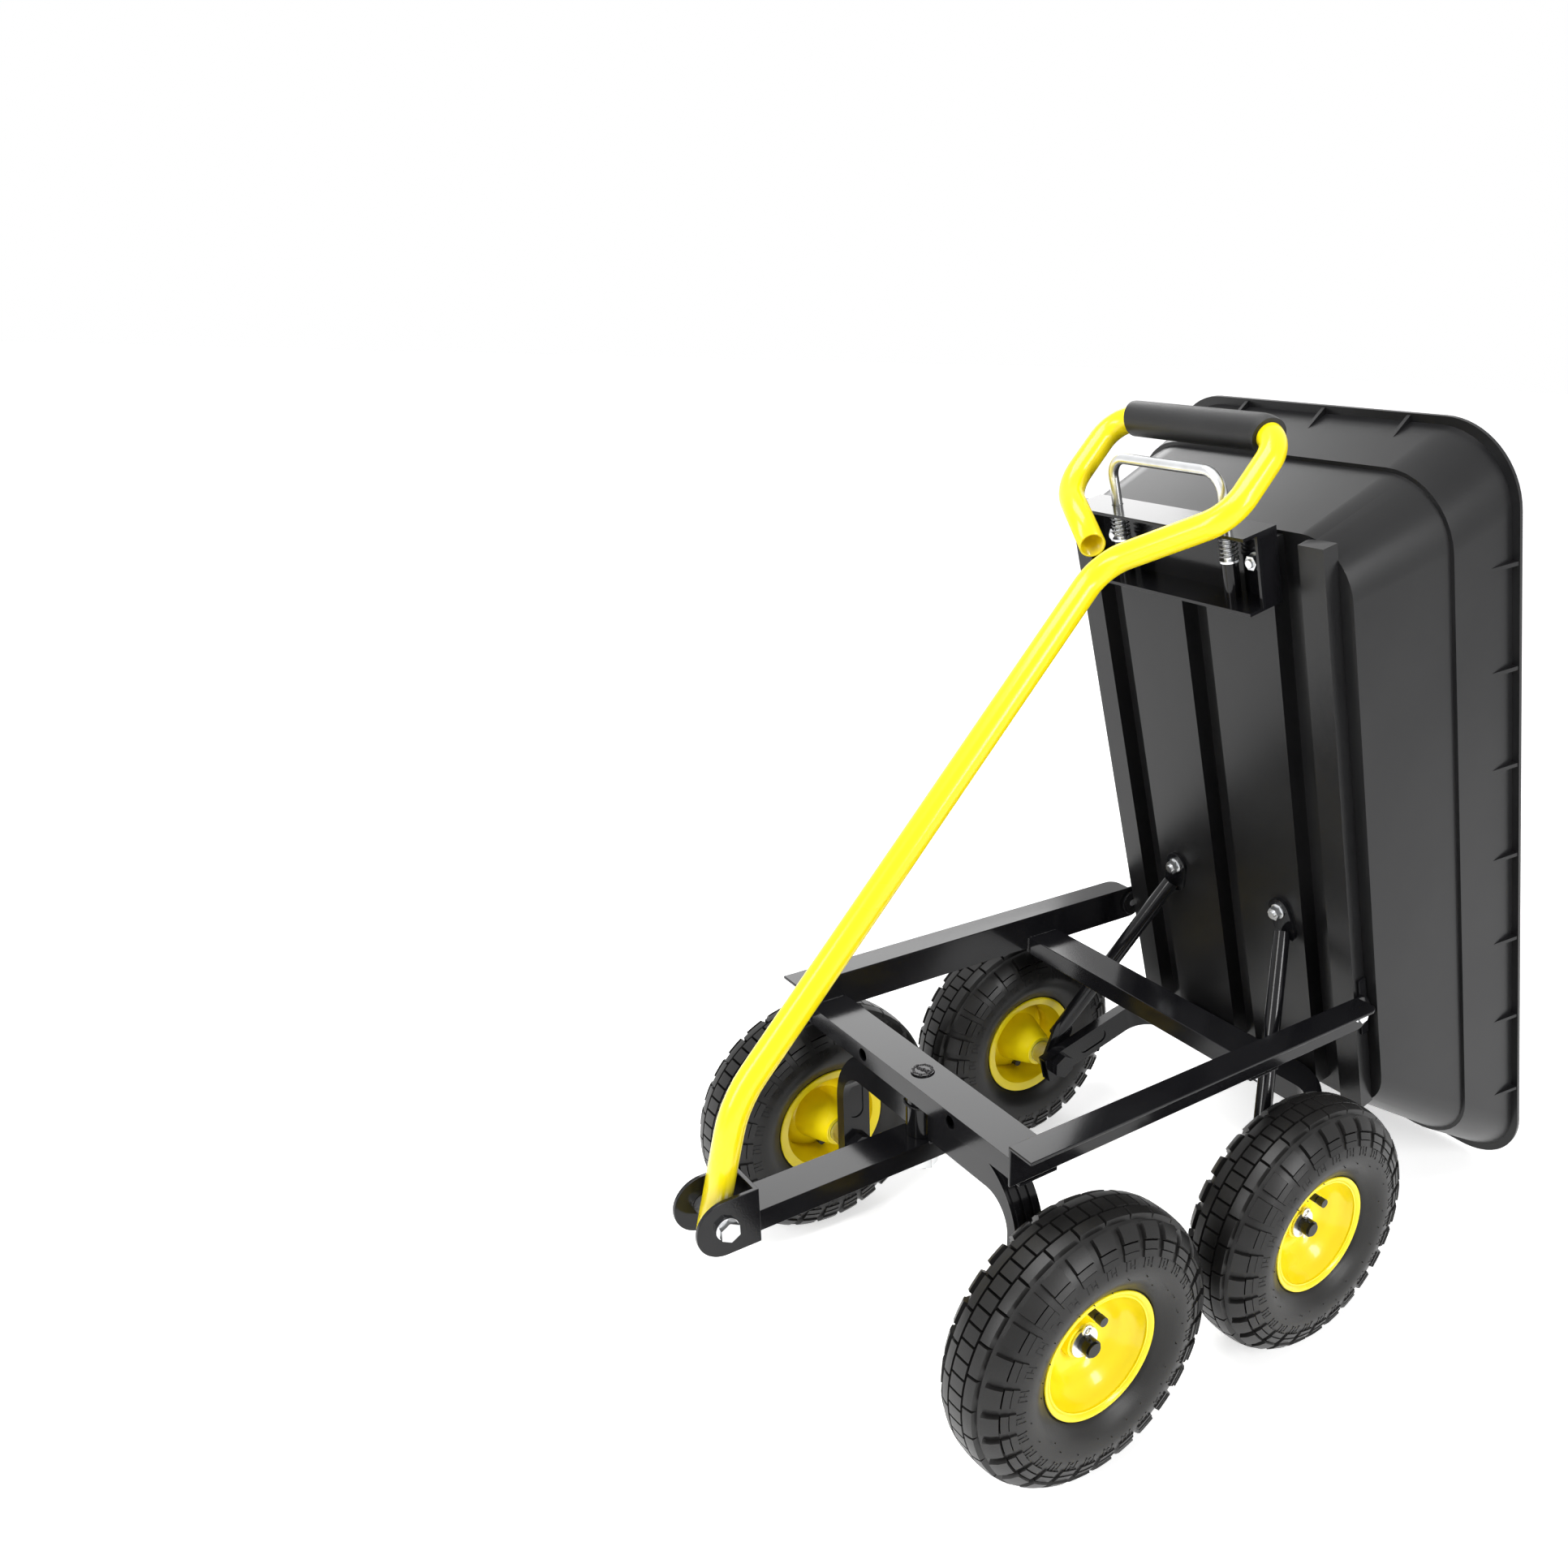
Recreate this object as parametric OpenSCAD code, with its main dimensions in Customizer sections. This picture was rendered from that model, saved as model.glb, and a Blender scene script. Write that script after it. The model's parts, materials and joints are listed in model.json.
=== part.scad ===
// Tipping dump cart with a swinging pull handle, shown with its tray tipped up.
// X is across the cart (left is +X), the cart rolls toward -Y, Z is up. Lengths are in millimetres.
// The origin is on the ground, under the middle of the whole cart.

/* [Wheels] */
// Tyre outside diameter
tyre_d = 254; // [235:1:258]
// Tyre width at its widest
tyre_w = 86; // [76:1:92]
// Rim diameter over its flanges
rim_d = 120; // [112:1:126]
// Rim width over its flanges
rim_w = 62; // [56:1:66]
// Distance between the middles of the front wheels
track_front = 443; // [436:1:470]
// Distance between the middles of the rear wheels
track_rear = 454; // [446:1:480]
// Gap between the front and rear tyres with the tray tipped
tyre_gap = 16; // [12:0.5:24]
// Spindle diameter
spindle_d = 16; // [14:0.5:18]

/* [Frame] */
// Height of the rails' top faces above the ground
rail_top = 307; // [304:1:312]
// Height of a rail's upright web
rail_h = 38; // [34:1:40]
// Width of a rail's flange
rail_flange = 30; // [24:1:34]
// Thickness of the rail's steel
rail_t = 3; // [2.5:0.1:3.5]
// Distance between the inner faces of the two rails
rail_gap = 348; // [344:1:352]
// How far the rails reach ahead of the front axle
rail_front = 42; // [38:1:46]
// Distance of the tray hinge behind the front axle
hinge_back = 400; // [392:1:406]
// Depth of a cross-member from front to back
cross_w = 40; // [36:1:44]
// Height of a cross-member
cross_h = 20; // [18:1:22]
// How far the cross-members' tops lie below the rails' tops
cross_drop = 24; // [23:0.5:26]
// How far the front cross-member's face lies ahead of the front axle
face_ahead = 30; // [27:1:33]
// Distance of the middle cross-member's face behind the front axle
mid_back = 246; // [235:1:256]

/* [Axles] */
// Length of the spacer between an arch's leg and its hub
spacer_len = 19.5; // [15:0.5:24]
// Thickness of an arch's legs
leg_t = 13; // [12:0.5:15]
// Depth of an arch in the middle
arch_depth = 32; // [28:1:34]
// Width of an arch from front to back
arch_w = 30; // [26:1:34]
// Steel thickness of the arches and of the tongue
arch_wall = 2.5; // [2:0.1:3]
// Kingpin diameter
kingpin_d = 16; // [14:0.5:18]
// Tongue width
tongue_w = 40; // [36:1:44]
// Tongue height
tongue_h = 20; // [18:1:22]

/* [Handle] */
// Tube diameter
tube_d = 25; // [22:0.5:27]
// Tube wall
tube_wall = 2; // [1.5:0.1:2.5]
// Distance of the handle pivot ahead of the front axle
pivot_ahead = 218; // [212:1:226]
// Lean of the lower tube from the level
foot_lean = 76.3; // [74:0.1:78]
// Lean of the long shaft from the level
shaft_lean = 47.8; // [47:0.1:50]
// Length of the lower tube, from the pivot to the bend
foot_len = 102; // [98:1:106]
// How far above the start of the loop the latch bail lies, with the tray tipped
bail_in_loop = 135.6; // [128:0.1:146]
// Half width of the loop, to the tube's middle
loop_half = 110; // [104:1:116]
// Height of the loop's top bar above the start of the loop
loop_top = 187; // [182:1:194]
// Height of the loop's lower corners above the start of the loop
loop_low = 97; // [92:1:102]
// Diameter of the foam grip
grip_d = 33; // [30:0.5:36]
// Length of the foam grip
grip_len = 156; // [130:1:158]

/* [Tray] */
// Angle between the tipped tray and the lowered tray
tip = 76; // [74:0.5:77]
// Distance of the tray's front lip ahead of the hinge, lowered
lip_front = 549; // [544:1:560]
// Distance of the tray's rear lip behind the hinge, lowered
lip_rear = 340; // [326:1:343]
// Half width over the tray's lip
lip_half = 226; // [220:1:234]
// Height of the lip's top above the hinge, lowered
lip_top = 209; // [195:1:214]
// Moulded wall thickness
tray_wall = 4; // [3:0.1:4.5]
// Corner radius of the lip
lip_r = 80; // [70:1:90]

/* [Latch] */
// Distance of each latch pin from the middle
pin_x = 73; // [68:1:78]
// Latch pin and bail diameter
pin_d = 10; // [9:0.5:11]
// How far the pins reach into the front cross-member
pin_reach = 7; // [6:0.5:8]
// Travel of the bail when it is pulled
pull = 12; // [10:0.5:13]
// Curls in each latch spring
curls = 7; // [5:1:8]
// Wire diameter of the latch springs
wire_d = 1.8; // [1.4:0.1:2]

/* [Fits] */
// Clearance on the radius of a turning fit
run_gap = 0.08; // [0.04:0.01:0.1]
// Clearance on the radius of a seated piece
seat_gap = 0.03; // [0.02:0.01:0.05]
// Gap between faces that slide past each other
face_gap = 0.5; // [0.4:0.1:0.8]

/* [Hidden] */
$fn = 48;
tyre_r = tyre_d / 2;
rim_r = rim_d / 2;
axle_z = tyre_r;
tipped_base = tyre_d + tyre_gap;
rail_in = rail_gap / 2;
hinge_z = rail_top - rail_h / 2;
hinge_d = 8;
cross_top = rail_top - cross_drop;
cross_low = cross_top - cross_h;
cross_wall = 2;
kingpin_y = cross_w / 2 - face_ahead;
latch_hole_d = pin_d + 3;

// Front axle, from the cross-member down
arch_top = cross_low - 11;
arch_r_out = 70;
arch_r_in = 32;
ridge_h = 2;
ridge_w = 5;
leg_below = 18;
tongue_top = arch_top - arch_depth;
tongue_mid = tongue_top - tongue_h / 2;
tongue_rear = 16;
boss_r = kingpin_d / 2 + 8;

// Handle pivot and its forked bracket
pivot_z = tongue_mid + 9;
pivot_d = 10;
cheek_t = 4;
cheek_r = 26;
cheek_in = tongue_w / 2;
cheek_back = 30;
bush_d = 18;
foot_below = 14;
foot_bend = 110;
loop_bend = 50;
loop_corner = 30;
loop_side = 45;
loop_vertex = 25.4;
loop_end = 27;

// Hubs, measured from the wheel's middle plane
hub_in = 49.5;
hub_out = 6.5;
hub_r = 17;
bush_r = 13;
bush_len = 12;
washer_t = 2;
end_len = 13;
disc_z = 5.5;
stem_r = 36;
stem_d = 8;
bead_r = rim_r - 7;
sheet = 2.5;

// Half widths over the arches' legs, from the wheels inward
strut_tab = 4;
front_half = track_front / 2 - hub_in - face_gap - spacer_len;
rear_half = track_rear / 2 - hub_in - face_gap - spacer_len - strut_tab;

// Rear axle in the tray's own lowered frame
rear_dy = tipped_base - hinge_back;
rear_dz = axle_z - hinge_z;
rear_y = rear_dy * cos(tip) - rear_dz * sin(tip);
rear_z = rear_dy * sin(tip) + rear_dz * cos(tip);

// Tray sections, lowered, measured from the hinge
floor_z = rail_h / 2 + 0.5;
land_z = cross_top - hinge_z + 7;
lip_t = 4;
lip_out = 8;
step_z = floor_z + (lip_top - floor_z) * 0.5937;
rim_z = lip_top - lip_t;
land_past_arch = 22.2;
floor_half = lip_half - 41;
floor_front = lip_front - 56;
floor_rear = rear_y + land_past_arch;
step_half = lip_half - 18;
step_front = lip_front - 28;
step_rear = lip_rear - 77;
step_in = 4;
land_front = floor_front - 3;
land_rear = floor_rear - 15;
land_side = rail_in - 4;
land_draft = 2;
lands = [[17, 107, land_draft], [141, land_side, 0]];
rib_t = 4;
rib_h = 28;
rib_step = 105;

// Struts and bolts on the tray
strut_d = 18;
strut_x = 77.5;
strut_y = -88;
strut_pad_r = 14;
bolt_d = 8;

// Latch, in the tray's own lowered frame
pin_z = cross_top - cross_h / 2 - hinge_z;
pin_tip = pin_reach - face_ahead - hinge_back;
latch_rear = pin_tip - pin_reach - 4;
latch_t = 3;
latch_len = 71;
latch_front = latch_rear - latch_len;
latch_half = 118;
latch_low = pin_z - 25;
guide_len = 33;
guide_wall = 3;
bail_out = 46;
bail_end = latch_front - bail_out;
bail_bend = 20;
collar_t = 2;
latch_bolt_x = latch_half - 25;
spring_base = latch_rear - latch_t - guide_len - face_gap - collar_t;
spring_len = spring_base - latch_front - latch_t;
spring_r = 8.2;
spring_end_gap = 0.3;
rings = 8;
sides = 6;

// The origin sits under the middle of the cart's length
nose_y = -pivot_ahead - cheek_r;
tail_y = hinge_back + lip_rear * cos(tip) + lip_top * sin(tip);
shift_y = -(nose_y + tail_y) / 2;

steel = [0.07, 0.07, 0.08];
yellow = [0.98, 0.8, 0.05];
black = [0.1, 0.1, 0.1];
zinc = [0.75, 0.76, 0.78];
foam = [0.16, 0.16, 0.17];
nylon = [0.2, 0.2, 0.21];

// Places

module placed() {
    translate([0, shift_y, 0]) children();
}

// The tray and all it carries are drawn level, with the hinge at the origin, and then tipped up
module tipped() {
    placed() translate([0, hinge_back, hinge_z]) rotate([-tip, 0, 0]) children();
}

module both_sides() {
    children();
    mirror([1, 0, 0]) children();
}

// The middle of a wheel, with its axis turned to point outward
module wheel_place(back, track, side) {
    placed()
    translate([side * track / 2, back, axle_z])
    rotate([0, side * 90, 0])
    children();
}

// Shared shapes

module bar_x(d, x0, x1) {
    translate([x0, 0, 0]) rotate([0, 90, 0]) cylinder(d = d, h = x1 - x0);
}

module hex_x(flats, x0, x1) {
    translate([x0, 0, 0]) rotate([0, 90, 0]) cylinder(d = flats / cos(30), h = x1 - x0, $fn = 6);
}

module hex_z(flats, z0, z1) {
    translate([0, 0, z0]) cylinder(d = flats / cos(30), h = z1 - z0, $fn = 6);
}

module ring(outer_r, inner_r, h) {
    difference() {
        cylinder(r = outer_r, h = h);
        translate([0, 0, -1]) cylinder(r = inner_r, h = h + 2);
    }
}

// A flat shape in the Y and Z directions, made thick along X
module plate_x(x0, x1) {
    translate([x0, 0, 0]) rotate([90, 0, 90]) linear_extrude(x1 - x0) children();
}

// A flat shape in the X and Z directions, made thick along Y about the middle
module plate_y(w) {
    rotate([90, 0, 0]) linear_extrude(w, center = true) children();
}

module capsule2d(a, b, r) {
    hull() {
        translate(a) circle(r);
        translate(b) circle(r);
    }
}

// A box tube lying along X, open at its ends
module cross_tube() {
    difference() {
        translate([-rail_in, 0, cross_low]) cube([rail_gap, cross_w, cross_h]);
        translate([-rail_in - 1, cross_wall, cross_low + cross_wall])
            cube([rail_gap + 2, cross_w - 2 * cross_wall, cross_h - 2 * cross_wall]);
    }
}

// Bent rods: straight runs joined by round bends, through points in the XY plane.
// Each run laps a little over its bends, which are a hair thinner, so the pieces join cleanly.

rod_lap = 0.5;
rod_ease = 0.2;

function heading(a, b) = atan2(b[1] - a[1], b[0] - a[0]);
function unit(a, b) = (b - a) / norm(b - a);
function wrap(a) = a > 180 ? a - 360 : a < -180 ? a + 360 : a;
function turn(p, i) = wrap(heading(p[i], p[i + 1]) - heading(p[i - 1], p[i]));
function trim(p, bends, i) = i == 0 || i == len(p) - 1 ? 0 : bends[i] * tan(abs(turn(p, i)) / 2);

module bent_rod(p, bends, d) {
    for (i = [0 : len(p) - 2]) {
        dir = unit(p[i], p[i + 1]);
        from = p[i] + dir * (trim(p, bends, i) - (i > 0 ? rod_lap : 0));
        to = p[i + 1] - dir * (trim(p, bends, i + 1) - (i < len(p) - 2 ? rod_lap : 0));
        if (norm(to - from) > 1)
            translate(from) rotate([0, 90, heading(p[i], p[i + 1])])
                cylinder(d = d, h = norm(to - from));
    }
    for (i = [1 : len(p) - 2]) {
        side = turn(p, i) > 0 ? 1 : -1;
        start = heading(p[i - 1], p[i]);
        from = p[i] - unit(p[i - 1], p[i]) * trim(p, bends, i);
        centre = from + side * bends[i] * [-sin(start), cos(start)];
        first = side > 0 ? start - 90 : start + 90 + turn(p, i);
        translate(centre) rotate(first) rotate_extrude(angle = abs(turn(p, i)))
            translate([bends[i], 0]) circle(d = d - rod_ease);
    }
}

// Frame

module rail(side) {
    placed() mirror([side > 0 ? 0 : 1, 0, 0]) difference() {
        union() {
            plate_x(rail_in, rail_in + rail_t) {
                translate([-rail_front, hinge_z - rail_h / 2]) square([rail_front + hinge_back, rail_h]);
                translate([hinge_back, hinge_z]) circle(rail_h / 2);
            }
            translate([0, 0, rail_top - rail_t]) linear_extrude(rail_t) rail_flange_outline();
        }
        translate([0, hinge_back, hinge_z]) bar_x(hinge_d + 2 * run_gap, rail_in - 1, rail_in + rail_t + 1);
    }
}

module rail_flange_outline() {
    corner = 12;
    end = hinge_back - 3;
    translate([rail_in, -rail_front]) square([rail_flange, rail_front + end - corner]);
    translate([rail_in, -rail_front]) square([rail_flange - corner, rail_front + end]);
    translate([rail_in + rail_flange - corner, end - corner]) circle(corner);
}

module left_rail() color(steel) rail(1);

module right_rail() color(steel) rail(-1);

module front_crossmember() color(steel) placed() difference() {
    translate([0, -face_ahead, 0]) cross_tube();
    for (s = [-1, 1])
        translate([s * pin_x, -face_ahead - 1, hinge_z + pin_z]) rotate([-90, 0, 0])
            cylinder(d = latch_hole_d, h = cross_wall + 2);
    translate([0, kingpin_y, cross_low - 1]) cylinder(r = kingpin_d / 2 + seat_gap, h = cross_h + 2);
}

module mid_crossmember() color(steel) placed() translate([0, mid_back, 0]) cross_tube();

module kingpin() color(steel) placed() translate([0, kingpin_y, 0]) {
    translate([0, 0, kingpin_low()]) cylinder(d = kingpin_d, h = cross_top - kingpin_low());
    translate([0, 0, cross_top]) cylinder(r = kingpin_d / 2 + 3, h = 1.5);
}

function kingpin_low() = tongue_top - tongue_h - face_gap - 3 - 14;

module kingpin_nut() color(zinc) placed() translate([0, kingpin_y, 0]) difference() {
    union() {
        translate([0, 0, tongue_top - tongue_h - face_gap - 3]) cylinder(r = kingpin_d / 2 + 7, h = 3);
        hex_z(kingpin_d * 1.5, tongue_top - tongue_h - face_gap - 14, tongue_top - tongue_h - face_gap - 3);
    }
    translate([0, 0, kingpin_low() - 1]) cylinder(r = kingpin_d / 2 + seat_gap, h = 30);
}

// Axle arches: bent box bars with pressed ridges, drawn about the middle of the axle

module arch2d(half, top, bottom, r) {
    translate([-half + r, bottom]) square([2 * (half - r), top - bottom]);
    translate([-half, bottom]) square([2 * half, top - r - bottom]);
    intersection() {
        for (s = [-1, 1]) translate([s * (half - r), top - r]) circle(r);
        translate([-half, bottom]) square([2 * half, top - bottom]);
    }
}

// The band between two arches, drawn in by a wall thickness on both of its edges
module arch_band(half, top, bottom, inset) {
    difference() {
        arch2d(half - inset, top - inset, bottom, arch_r_out - inset);
        arch2d(half - leg_t + inset, top - arch_depth + inset, bottom - 1, arch_r_in + inset);
    }
}

module arch_ridge(half, top, bottom) {
    difference() {
        arch2d(half + ridge_h, top + ridge_h, bottom, arch_r_out + ridge_h);
        arch2d(half - 0.5, top - 0.5, bottom - 1, arch_r_out - 0.5);
    }
}

module leg_recess(half, foot_z) {
    run = 12;
    depth = 1.4;
    for (s = [-1, 1]) translate([s * (half - leg_t), 0, foot_z + 52]) rotate([0, 90, 0]) {
        for (e = [-1, 1]) translate([e * run, 0, -depth]) cylinder(d = 16, h = 2 * depth);
        translate([-run, -8, -depth]) cube([2 * run, 16, 2 * depth]);
    }
}

module arch(half, top, foot_z) {
    bottom = foot_z - leg_below;
    difference() {
        union() {
            plate_y(arch_w) arch_band(half, top, bottom, 0);
            for (e = [-1, 0, 1])
                translate([0, e * arch_w * 0.3, 0]) plate_y(ridge_w) arch_ridge(half, top, foot_z + 46);
        }
        plate_y(arch_w - 2 * arch_wall) arch_band(half, top, bottom - 2, arch_wall);
        leg_recess(half, foot_z);
        translate([0, 0, foot_z]) both_sides()
            bar_x(spindle_d + 2 * seat_gap, half - leg_t - 1, half + 1);
    }
}

module front_arch() color(steel) placed() difference() {
    arch(front_half, arch_top, axle_z);
    translate([0, kingpin_y, tongue_top - 1]) cylinder(r = boss_r + seat_gap, h = arch_depth + 20);
}

module kingpin_boss() color(steel) placed() translate([0, kingpin_y, tongue_top])
    ring(boss_r, kingpin_d / 2 + run_gap, cross_low - face_gap - tongue_top);

module tongue() color(steel) placed() difference() {
    len = pivot_ahead - cheek_back + tongue_rear;
    start = -pivot_ahead + cheek_back;
    translate([-tongue_w / 2, start, tongue_top - tongue_h]) cube([tongue_w, len, tongue_h]);
    translate([-tongue_w / 2 + arch_wall, start - 1, tongue_top - tongue_h + arch_wall])
        cube([tongue_w - 2 * arch_wall, len + 2, tongue_h - 2 * arch_wall]);
    translate([0, kingpin_y, tongue_top - tongue_h - 1]) cylinder(r = kingpin_d / 2 + run_gap, h = tongue_h + 2);
}

module handle_clevis() color(steel) placed() translate([0, -pivot_ahead, pivot_z]) difference() {
    union() {
        both_sides() plate_x(cheek_in, cheek_in + cheek_t) {
            circle(cheek_r);
            translate([0, -cheek_r]) square([cheek_back, 2 * cheek_r]);
        }
        translate([-cheek_in - cheek_t, cheek_back - cheek_t, -cheek_r])
            cube([2 * (cheek_in + cheek_t), cheek_t, 2 * cheek_r]);
    }
    bar_x(pivot_d + 2 * seat_gap, -cheek_in - cheek_t - 1, cheek_in + cheek_t + 1);
}

module handle_pivot_bolt() color(zinc) placed() translate([0, -pivot_ahead, pivot_z]) {
    outer = cheek_in + cheek_t;
    bar_x(pivot_d, -outer - 12, outer + 1);
    bar_x(pivot_d * 2, outer, outer + 1.5);
    hex_x(pivot_d * 1.6, outer + 1.5, outer + 8);
    bar_x(pivot_d * 2, -outer - 1.5, -outer);
    hex_x(pivot_d * 1.6, -outer - 9, -outer - 1.5);
}

// Spindles and their fastenings: a stub bolted through each leg, out to the hub's end

module spindle_pair(back, track, half) {
    tip_x = track / 2 + hub_out + face_gap + washer_t + end_len;
    translate([0, back, axle_z]) both_sides() difference() {
        union() {
            bar_x(spindle_d, half - leg_t - 5, tip_x - 2);
            bar_x(spindle_d - 3, tip_x - 3, tip_x);
            hex_x(spindle_d * 1.5, half - leg_t - 10, half - leg_t);
        }
        translate([cotter_x(track), 0, -spindle_d]) cylinder(r = cotter_r + seat_gap, h = 2 * spindle_d);
    }
}

cotter_r = 1.6;
function cotter_x(track) = track / 2 + hub_out + face_gap + washer_t + 2.2;

module spacer_pair(back, track) {
    inner = track / 2 - hub_in - face_gap - spacer_len;
    translate([0, back, axle_z]) both_sides() translate([inner, 0, 0]) rotate([0, 90, 0])
        ring(spindle_d / 2 + 5, spindle_d / 2 + seat_gap, spacer_len);
}

module washer_pair(back, track) {
    translate([0, back, axle_z]) both_sides() translate([track / 2 + hub_out + face_gap, 0, 0]) rotate([0, 90, 0])
        ring(spindle_d / 2 + 6, spindle_d / 2 + seat_gap, washer_t);
}

// A split pin: a straight leg through the spindle with a round eye above it
module cotter_pair(back, track) {
    eye_r = 4;
    translate([0, back, axle_z]) both_sides() translate([cotter_x(track), 0, 0]) {
        translate([0, 0, -spindle_d / 2 - 6]) cylinder(r = cotter_r, h = spindle_d + 8);
        translate([0, 0, spindle_d / 2 + 2 + eye_r]) rotate([0, 90, 0])
            rotate_extrude() translate([eye_r, 0]) circle(cotter_r);
    }
}

module front_spindles() color(steel) placed() spindle_pair(0, track_front, front_half);

module front_spacers() color(zinc) placed() spacer_pair(0, track_front);

module front_washers() color(zinc) placed() washer_pair(0, track_front);

module front_cotters() color(zinc) placed() cotter_pair(0, track_front);

module rear_spindles() color(steel) placed() spindle_pair(tipped_base, track_rear, rear_half);

module rear_spacers() color(zinc) placed() spacer_pair(tipped_base, track_rear);

module rear_washers() color(zinc) placed() washer_pair(tipped_base, track_rear);

module rear_cotters() color(zinc) placed() cotter_pair(tipped_base, track_rear);

// Handle: a tube bent once above the pivot, then round into a loop whose end stays open

bend_point = foot_len * [cos(foot_lean), sin(foot_lean)];
shaft_dir = [cos(shaft_lean), sin(shaft_lean)];
bend_trim = foot_bend * tan((foot_lean - shaft_lean) / 2);
bail_y = hinge_back + bail_end * cos(tip) + pin_z * sin(tip);
bail_z = hinge_z - bail_end * sin(tip) + pin_z * cos(tip);
shaft_len = ([bail_y + pivot_ahead, bail_z - pivot_z] - bend_point) * shaft_dir - bail_in_loop;
loop_start = bend_point + shaft_len * shaft_dir;

function foot_path(extra) = [-(foot_below + extra) * [cos(foot_lean), sin(foot_lean)], bend_point,
                             bend_point + bend_trim * shaft_dir];

// The open end lies on the left lower side, a little short of the shaft
function open_end(u) = [-u, loop_vertex + (loop_low - loop_vertex) * u / loop_half];
function loop_path(extra) = [[0, bend_trim - shaft_len - rod_lap], [0, loop_vertex], [loop_half, loop_low],
                             [loop_half, loop_top], [-loop_half, loop_top], [-loop_half, loop_low],
                             open_end(loop_end - extra)];

loop_bends = [0, loop_bend, loop_side, loop_corner, loop_corner, loop_side, 0];

module handle_rod(d, extra) {
    rotate([90, 0, 90]) bent_rod(foot_path(extra), [0, foot_bend, 0], d);
    translate([0, loop_start[0], loop_start[1]]) rotate([shaft_lean, 0, 0]) bent_rod(loop_path(extra), loop_bends, d);
}

module handle_place() {
    placed() translate([0, -pivot_ahead, pivot_z]) children();
}

module grip_place() {
    handle_place() translate([0, loop_start[0], loop_start[1]]) rotate([shaft_lean, 0, 0])
        translate([0, loop_top, 0]) children();
}

module handle_tube() color(yellow) handle_place() difference() {
    handle_rod(tube_d, 0);
    handle_rod(tube_d - 2 * tube_wall, 1);
    bar_x(bush_d + 2 * seat_gap, -tube_d, tube_d);
}

module handle_bush() color(zinc) handle_place() difference() {
    bar_x(bush_d, -cheek_in + face_gap, cheek_in - face_gap);
    bar_x(pivot_d + 2 * run_gap, -cheek_in - 1, cheek_in + 1);
}

module handle_grip() color(foam) grip_place() difference() {
    bar_x(grip_d, -grip_len / 2, grip_len / 2);
    bar_x(tube_d + 2 * seat_gap, -grip_len, grip_len);
}

// Tray: a moulded tub with a stepped wall, a sloping rear wall and hollow lands under its floor

module tub_slice(front, rear, half, r, z0, h) {
    translate([0, 0, z0]) linear_extrude(h) {
        translate([-half, -front + r]) square([2 * half, front + rear - 2 * r]);
        translate([-half + r, -front]) square([2 * (half - r), front + rear]);
        for (x = [-half + r, half - r])
            for (y = [-front + r, rear - r])
                translate([x, y]) circle(r, $fn = 40);
    }
}

module tub_lower(inset, z0, z1) {
    hull() {
        tub_slice(floor_front - inset, floor_rear - inset, floor_half - inset, lip_r * 0.7, z0, 1);
        tub_slice(step_front - step_in - inset, step_rear - step_in - inset, step_half - step_in - inset,
                  lip_r * 0.85, z1 - 1, 1);
    }
}

module tub_upper(inset, z0, z1) {
    hull() {
        tub_slice(step_front - inset, step_rear - inset, step_half - inset, lip_r * 0.9, z0, 1);
        tub_slice(lip_front - lip_out - inset, lip_rear - lip_out - inset, lip_half - lip_out - inset,
                  lip_r * 0.95, z1 - 1, 1);
    }
}

// A raised land along the floor, as a prism from one end to the other
module land(x0, x1, draft, low, high, front, rear) {
    translate([0, (rear - front) / 2, 0]) plate_y(front + rear)
        polygon([[x0 - land_draft, high], [x0, low], [x1, low], [x1 + draft, high]]);
}

module all_lands(inset, low, high) {
    both_sides() for (l = lands)
        land(l[0] + inset, l[1] - inset, l[2], low, high, land_front - inset, land_rear - inset);
}

function side_wall(z) = step_half + (lip_half - lip_out - step_half) * (z - step_z) / (rim_z - step_z);

module lip_ribs() {
    rib_z = rim_z - rib_h;
    in_by = tray_wall * 0.5;
    both_sides() for (i = [-4 : 2])
        translate([0, i * rib_step, 0]) plate_y(rib_t)
            polygon([[side_wall(rib_z) - in_by, rib_z], [side_wall(rib_z), rib_z], [lip_half - 1, rim_z + 1],
                     [side_wall(rim_z) - in_by, rim_z + 1]]);
    wall_y = lip_front - lip_out - (lip_front - lip_out - step_front) * rib_h / (rim_z - step_z);
    for (i = [-1 : 1])
        translate([i * rib_step - rib_t / 2, 0, 0]) plate_x(0, rib_t)
            polygon([[-wall_y + in_by, rib_z], [-wall_y, rib_z], [1 - lip_front, rim_z + 1],
                     [lip_out - lip_front + in_by, rim_z + 1]]);
}

module bolt_places() {
    both_sides() translate([strut_x, strut_y, 0]) children();
    both_sides() translate([latch_bolt_x, latch_front + latch_len / 2, 0]) children();
    both_sides() translate([arch_bolt_x, rear_y - arch_bolt_y, 0]) children();
}

arch_bolt_x = 60;
arch_bolt_y = 6.5;

module tray() color(black) tipped() difference() {
    union() {
        tub_lower(0, floor_z, step_z);
        tub_upper(0, step_z - 1, rim_z + 1);
        tub_slice(lip_front, lip_rear, lip_half, lip_r, rim_z, lip_t);
        all_lands(0, land_z, floor_z + 1);
        lip_ribs();
    }
    tub_lower(tray_wall, floor_z + tray_wall, step_z + tray_wall);
    tub_upper(tray_wall, step_z + tray_wall - 1, lip_top + 1);
    all_lands(tray_wall, land_z + tray_wall, floor_z + tray_wall + 1);
    bolt_places() translate([0, 0, land_z - 1]) cylinder(r = bolt_d / 2 + seat_gap, h = tray_wall + 2);
}

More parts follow.
